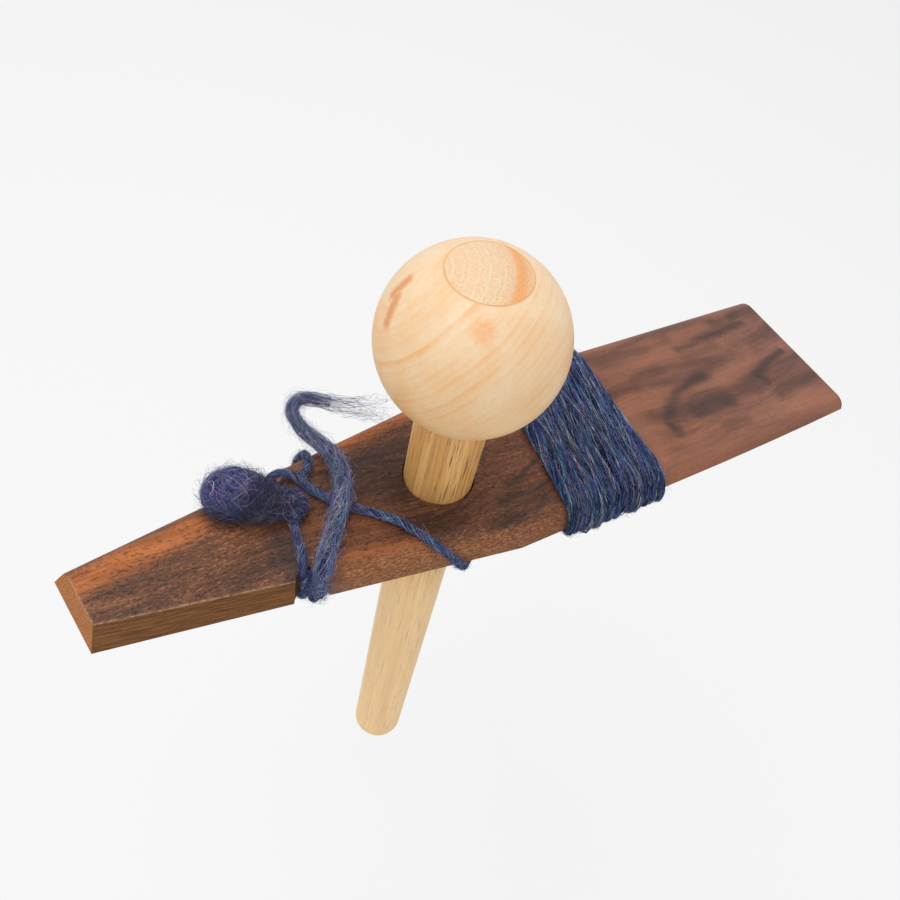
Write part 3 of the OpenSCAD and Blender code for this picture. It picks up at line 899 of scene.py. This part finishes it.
def walnut_figure(s, place, calm, smoke, flecks, crisp):
    """Colour of the planed wood: a tone along the paddle, pale flecks, chosen marks, one of them a painted
    shadow, and thin lines.
    """
    x = s.split(place)[0]
    ragged = s.vector("MULTIPLY", s.warped(place, 0.13, (4.0, 2.4, 0.0), 3.0), (1.0, 1.0, 0.0))
    share = s.math("DIVIDE", s.math("ADD", x, NARROW_LEN), NARROW_LEN + BLADE_LEN)
    tone = s.ramp(share, WALNUT_TONES)
    shade = s.times(tone, (0.58, 0.59, 0.63))
    shine = s.times(tone, (1.4, 1.32, 1.18))
    colour = s.mix(s.span(smoke, 0.32, 0.68), shade, shine)
    light = s.math("MULTIPLY", s.span(flecks, 0.51, 0.64, 0.0, 0.8), crisp)
    colour = s.mix(light, colour, s.times(colour, (2.3, 2.25, 2.1)))
    orange = s.mix(s.span(x, 20.0, 50.0), (0.47, 0.145, 0.040, 1), (0.31, 0.128, 0.076, 1))
    colour = s.mix(marks(s, ragged, ORANGE_MARKS), colour, orange)
    uneven = s.span(s.noise(calm, (0.08, 0.45, 0.45), 3.0), 0.32, 0.62, 0.72, 1.05)
    # The dark marks are figure, and one is a painted shadow by the hitch
    figure_and_painted_shadow = s.math("MULTIPLY", marks(s, ragged, DARK_MARKS), uneven)
    colour = s.mix(figure_and_painted_shadow, colour, (0.045, 0.030, 0.027, 1))
    lines = s.noise(calm, (0.02, 1.15, 1.15), 3.0, 0.6)
    thin = s.math("MULTIPLY", s.span(lines, 0.38, 0.58, 0.6, 0.0), s.span(crisp, 0.0, 1.0, 0.3, 1.0))
    return s.times(colour, (0.55, 0.52, 0.5), thin)


def walnut_cuts(s, place, flecks, colour):
    """The colour, with the narrow front side, the front edge painted lighter for wear and a painted
    highlight, and the ends laid over it; their roughness.
    """
    x = s.split(place)[0]
    out_x, out_y, _ = s.facing()
    side = s.math("MULTIPLY", s.span(out_y, -0.95, -0.7, 1.0, 0.0), s.span(x, -34.0, -30.0, 1.0, 0.0))
    bands = s.noise(place, (0.06, 0.9, 1.7), 3.0, 0.6)
    olive = s.mix(s.span(bands, 0.36, 0.62), (0.120, 0.048, 0.016, 1), (0.245, 0.104, 0.030, 1))
    colour = s.mix(s.math("MULTIPLY", side, 0.8), colour, olive)
    # The rounded front edge is lighter: partly wear, partly a painted highlight where it faces the front
    edge = s.math("MULTIPLY", s.span(out_y, -0.95, -0.25, 1.0, 0.0), s.span(x, -31.0, -28.0))
    wear_and_painted_highlight = s.math("MULTIPLY", edge, s.span(x, 0.0, 24.0, 0.6, 0.1))
    rubbed_and_highlit = s.mix(s.span(flecks, 0.40, 0.62), (0.210, 0.078, 0.029, 1), (0.560, 0.250, 0.110, 1))
    colour = s.mix(wear_and_painted_highlight, colour, rubbed_and_highlit)
    end = s.span(s.math("ABSOLUTE", out_x), 0.75, 0.92)
    spots = s.noise(place, (2.2, 2.2, 2.2), 3.0, 0.7)
    end_grain = s.mix(s.span(spots, 0.36, 0.62), (0.26, 0.098, 0.032, 1), (0.54, 0.205, 0.066, 1))
    colour = s.mix(end, colour, end_grain)
    rough = s.math("MAXIMUM", s.math("MAXIMUM", side, end), s.math("MULTIPLY", edge, 0.85))
    return colour, rough


def walnut_material():
    s = Shader("walnut_wood")
    place = s.place()
    calm = s.warped(place, 0.035, (8.0, 9.0, 9.0))
    smoke = s.noise(calm, (0.026, 0.15, 0.15), 3.0, 0.55)
    flecks = s.noise(place, (0.95, 2.8, 2.8), 3.0, 0.7)
    crisp = s.span(s.split(place)[0], 0.0, 60.0, 1.0, 0.18)
    colour = walnut_figure(s, place, calm, smoke, flecks, crisp)
    pores = s.noise(s.vector("ADD", place, (31.0, 17.0, 5.0)), (1.0, 3.2, 3.2), 2.0)
    dark = s.math("MULTIPLY", s.span(pores, 0.55, 0.66, 0.0, 0.75), crisp)
    colour = s.times(colour, (0.2, 0.2, 0.2), dark)
    colour, sawn = walnut_cuts(s, place, flecks, colour)
    # The narrow end's arris is painted lighter: partly wear, partly a painted highlight on the edge
    chipped = s.math("MULTIPLY", s.math("SUBTRACT", flecks, 0.42), 2.2)
    arris = s.span(s.math("ADD", s.from_line(place, NARROW_ARRIS), chipped), 0.1, 0.65, 0.7, 0.0)
    colour = s.mix(arris, colour, (0.430, 0.240, 0.130, 1))
    planed = s.span(smoke, 0.3, 0.7, 0.42, 0.55)
    height = s.math("SUBTRACT", s.math("MULTIPLY", flecks, 0.5), dark)
    return s.surface(
        Base_Color=colour,
        Roughness=s.math("MAXIMUM", planed, sawn),
        Specular_IOR_Level=0.22,
        Normal=s.bump(height, 0.04))


# The ball's growth rings lie across this direction: places from its middle, and strengths
BALL_GRAIN = (-0.540, 0.558, 0.629)
BALL_RINGS = [
    (17.4, 0.3), (16.4, 0.35), (15.3, 0.35), (14.2, 0.3), (13.0, 0.3), (10.8, 0.9), (9.2, 0.25), (8.0, 0.2),
    (6.6, 0.3), (5.2, 0.25), (3.9, 0.6), (2.6, 0.25), (1.2, 0.6), (0.3, 0.2), (-0.7, 0.45), (-1.9, 0.15),
    (-3.2, 0.35), (-4.6, 0.15), (-6.0, 0.35), (-7.6, 0.15), (-9.3, 0.35), (-11.2, 0.15), (-13.0, 0.3)]
BALL_STREAKS = [
    [(-12.1, 6.6, 13.1), (-13.4, 6.7, 11.6), (-14.5, 6.9, 10.1)],
    [(-14.6, 5.3, 10.9), (-16.0, 4.3, 9.3), (-17.3, 3.3, 7.3)]]
BALL_BLOTCH = (-6.2, -10.0, 14.9)


def ball_flaws(s, local, specks, colour):
    """The colour with torn streaks and a blotch laid over it."""
    torn = s.math("MULTIPLY", s.math("SUBTRACT", specks, 0.5), 2.4)
    nearest = s.math("MINIMUM", *(s.from_line(local, points) for points in BALL_STREAKS))
    streak = s.span(s.math("ADD", nearest, torn), 0.2, 1.8, 0.9, 0.0)
    colour = s.mix(streak, colour, (0.66, 0.27, 0.09, 1))
    blotch = s.span(s.vector("DISTANCE", local, BALL_BLOTCH), 0.4, 3.6, 0.8, 0.0)
    blotch = s.math("MULTIPLY", blotch, s.span(specks, 0.3, 0.6, 0.3, 1.0))
    return s.mix(blotch, colour, (0.80, 0.37, 0.14, 1))


def ball_material():
    s = Shader("birch_wood")
    place = s.place()
    local = s.vector("SUBTRACT", place, (0, 0, BALL_MIDDLE / MM))
    across = s.vector("DOT_PRODUCT", s.warped(local, 0.09, (1.3, 1.3, 1.3), 2.0), BALL_GRAIN)
    layered = s.vector("ADD", s.vector("MULTIPLY", local, (0.12, 0.12, 0.12)), s.scaled(BALL_GRAIN, across))
    patchy = s.noise(local, (0.10, 0.10, 0.10), 3.0, 0.6)
    colour = s.mix(s.span(patchy, 0.3, 0.72), (0.80, 0.63, 0.43, 1), (0.77, 0.56, 0.34, 1))
    fine = s.noise(layered, (1.1, 1.1, 1.1), 3.0, 0.6)
    colour = s.mix(s.span(fine, 0.45, 0.68, 0.0, 0.35), colour, (0.80, 0.49, 0.25, 1))
    line = s.math("MULTIPLY", s.rings(across, BALL_RINGS, 1.3), s.span(patchy, 0.34, 0.6, 0.25, 1.0))
    colour = s.mix(line, colour, (0.80, 0.40, 0.16, 1))
    specks = s.noise(place, (1.8, 1.8, 1.8), 3.0, 0.7)
    colour = s.mix(s.span(specks, 0.44, 0.7, 0.0, 0.36), colour, (0.76, 0.46, 0.23, 1))
    colour = ball_flaws(s, local, specks, colour)
    x, y, z = s.split(place)
    from_axis = s.vector("LENGTH", s.node("CombineXYZ", {0: x, 1: y}).outputs[0])
    high = s.span(z, BALL_MIDDLE / MM, BALL_HIGH / MM)
    # Painted bounce light and shade: the lower ball is darker and more orange towards the bottom
    painted_bounce_and_shade = s.span(z, BALL_LOW / MM, BALL_HIGH / MM, 1.0, 0.0)
    colour = s.times(colour, (1.03, 0.85, 0.56), painted_bounce_and_shade)
    joint = s.span(s.math("SUBTRACT", from_axis, SHAFT_R / MM), 0.05, 0.5, 0.8, 0.0)
    colour = s.mix(s.math("MULTIPLY", joint, high), colour, (0.72, 0.38, 0.16, 1))
    return s.surface(
        Base_Color=colour,
        Roughness=s.span(specks, 0.3, 0.7, 0.36, 0.48),
        Specular_IOR_Level=0.35,
        Normal=s.bump(line, 0.02))


# Rings on the shaft's end lie round this place in x and y, at these distances, with these strengths
SHAFT_PITH = (-16.0, 8.0, 0.0)
SHAFT_RINGS = [
    (11.0, 0.2), (12.4, 0.25), (13.8, 0.2), (15.2, 0.2), (16.8, 0.2), (18.6, 0.2), (20.2, 0.2), (21.4, 0.3)]
# The shaft's dark dashes gather on this side: partly grain, partly painted shade on that side of the shaft
DASH_AND_SHADE_SIDE = (0.887, -0.462, 0.0)


def shaft_end(s, place):
    """Colour of the shaft's cut ends, with growth rings and an orange crescent."""
    away = s.vector("DISTANCE", s.vector("MULTIPLY", place, (1, 1, 0)), SHAFT_PITH)
    weave = s.noise(place, (1.5, 1.5, 1.5), 3.0, 0.7)
    colour = s.mix(s.span(weave, 0.4, 0.65), (0.74, 0.56, 0.37, 1), (0.73, 0.49, 0.29, 1))
    lines = s.math("SINE", s.math("MULTIPLY", s.math("ADD", away, weave), 7.0))
    colour = s.mix(s.span(lines, 0.1, 1.0, 0.0, 0.26), colour, (0.82, 0.68, 0.50, 1))
    colour = s.mix(s.rings(away, SHAFT_RINGS, 1.2), colour, (0.80, 0.40, 0.16, 1))
    crescent = s.math("MULTIPLY", s.span(away, 21.2, 23.2, 0.0, 0.88), s.span(away, 23.4, 26.0, 1.0, 0.2))
    return s.mix(crescent, colour, (0.78, 0.34, 0.11, 1))


def shaft_material():
    s = Shader("beech_wood")
    place = s.place()
    wide = s.noise(place, (0.30, 0.30, 0.008), 3.0, 0.55)
    colour = s.mix(s.span(wide, 0.32, 0.68), (0.88, 0.51, 0.19, 1), (0.70, 0.36, 0.11, 1))
    fine = s.noise(place, (1.6, 1.6, 0.02), 3.0, 0.6)
    colour = s.mix(s.span(fine, 0.48, 0.70, 0.0, 0.6), colour, (0.42, 0.22, 0.075, 1))
    dashes = s.noise(place, (3.8, 3.8, 0.09), 3.0, 0.65)
    # More dark dashes on one side: partly grain, partly painted shade
    dashes_and_painted_shade = s.span(s.vector("DOT_PRODUCT", place, DASH_AND_SHADE_SIDE), -3.0, 4.0, 0.0, 0.055)
    dark = s.span(s.math("ADD", dashes, dashes_and_painted_shade), 0.59, 0.68, 0.0, 0.8)
    colour = s.mix(dark, colour, (0.17, 0.075, 0.025, 1))
    # Painted shade: the shaft is darker from about 50 mm up towards the ball, and paler lower down
    low = s.span(s.split(place)[2], 30.0, 70.0, 0.75, 0.0)
    colour = s.mix(low, colour, s.mix(0.75, colour, (0.95, 0.70, 0.38, 1)))
    end_face = s.span(s.math("ABSOLUTE", s.facing()[2]), 0.55, 0.75)
    colour = s.mix(end_face, colour, shaft_end(s, place))
    return s.surface(
        Base_Color=colour,
        Roughness=s.span(fine, 0.3, 0.7, 0.42, 0.55),
        Specular_IOR_Level=0.3,
        Normal=s.bump(dark, -0.04))


# The glue's bead: its radius, how far it stands out from the shaft and how deep it lies, in millimetres
GLUE_R = 0.075
GLUE_OUT = 0.03
GLUE_SINK = 0.02


def glue_material():
    s = Shader("glue")
    patches = s.noise(s.place(), (0.6, 0.6, 0.6), 3.0, 0.6)
    colour = s.mix(s.span(patches, 0.35, 0.65), (0.62, 0.30, 0.11, 1), (0.72, 0.42, 0.19, 1))
    return s.surface(
        Base_Color=colour,
        Roughness=s.span(patches, 0.3, 0.7, 0.4, 0.55),
        Specular_IOR_Level=0.3)


def make_glue_line():
    """A thin bead of glue that closes the joint round the shaft's top."""
    turn = np.linspace(0, TAU, 145)
    ring = np.stack([np.cos(turn), np.sin(turn)], axis=1) * (SHAFT_R / MM + GLUE_OUT)
    height = (BALL_HIGH - PADDLE_TOP) / MM - GLUE_SINK
    line = np.column_stack([ring, np.full(len(turn), height)])
    bead = Wool()
    bead.add(line[None], GLUE_R, np.array([0.0]), sides=6)
    piece = bead.build("glue_line", glue_material(), "handle")


def finish_wood():
    """Gives the three pieces of wood their materials."""
    woods = {"paddle": walnut_material(), "ball_knob": ball_material(), "spindle_shaft": shaft_material()}
    for name, material in woods.items():
        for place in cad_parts[name].material_slots:
            place.material = material


bpy.context.scene.view_settings.view_transform = "Standard"
make_camera()
yarn_wool = wool_material("spun_wool", shifted(YARN_TINTS, *YARN_SHIFT))
make_tail(wool_material("tail_wool", shifted(YARN_TINTS, *TAIL_SHIFT)))
make_puff(wool_material("puff_wool", shifted(YARN_TINTS, *PUFF_SHIFT), PUFF_LIT_SPOT))
make_yarn_pieces(yarn_wool)
make_cop(yarn_wool)
finish_wood()
make_glue_line()
make_lamp()
make_world()
make_floor()
